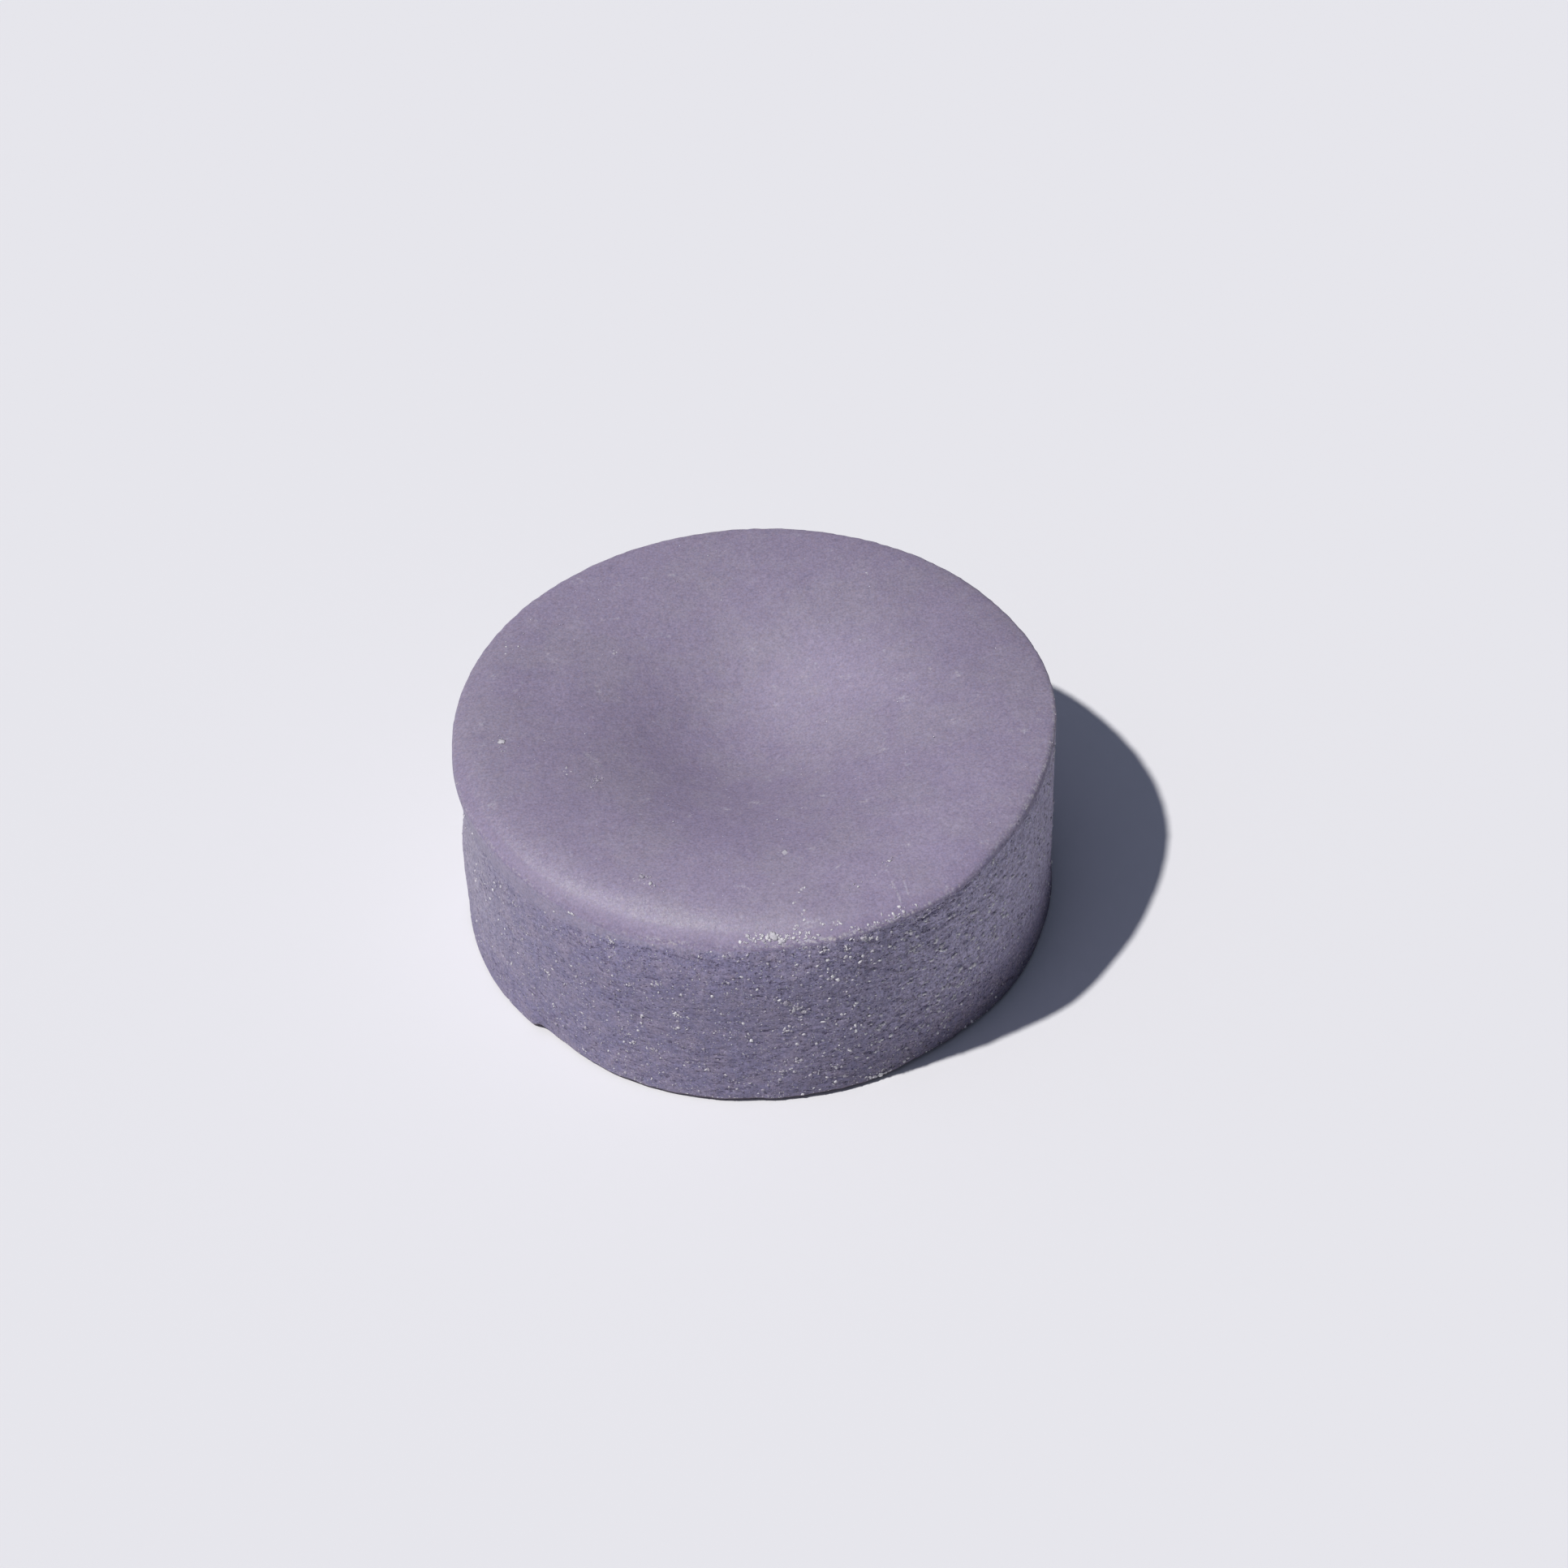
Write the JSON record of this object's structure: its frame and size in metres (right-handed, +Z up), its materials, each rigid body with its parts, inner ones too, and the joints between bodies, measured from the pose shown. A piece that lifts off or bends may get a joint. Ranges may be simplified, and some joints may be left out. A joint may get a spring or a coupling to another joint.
{
  "type": "shaving soap puck",
  "caption": "Round puck of hard lilac shaving soap with a straight side wall, rounded rim, shallow brush hollow in the top and flat base.",
  "frame": {"origin": "middle of the flat base, on the puck's axis", "axes": "+Z up along the puck's axis, from the base to the hollow; -Y towards the cluster of crumbs on the rim"},
  "size_m": [0.06, 0.06, 0.0227],
  "materials": {
    "soap": "hard soap: satin top, dry grained side wall",
    "dried_soap": "dry, chalky"
  },
  "bodies": {
    "root": {"soap_puck": "soap", "rim_crumbs": "dried_soap", "top_crumbs": "dried_soap"}
  },
  "joints": []
}
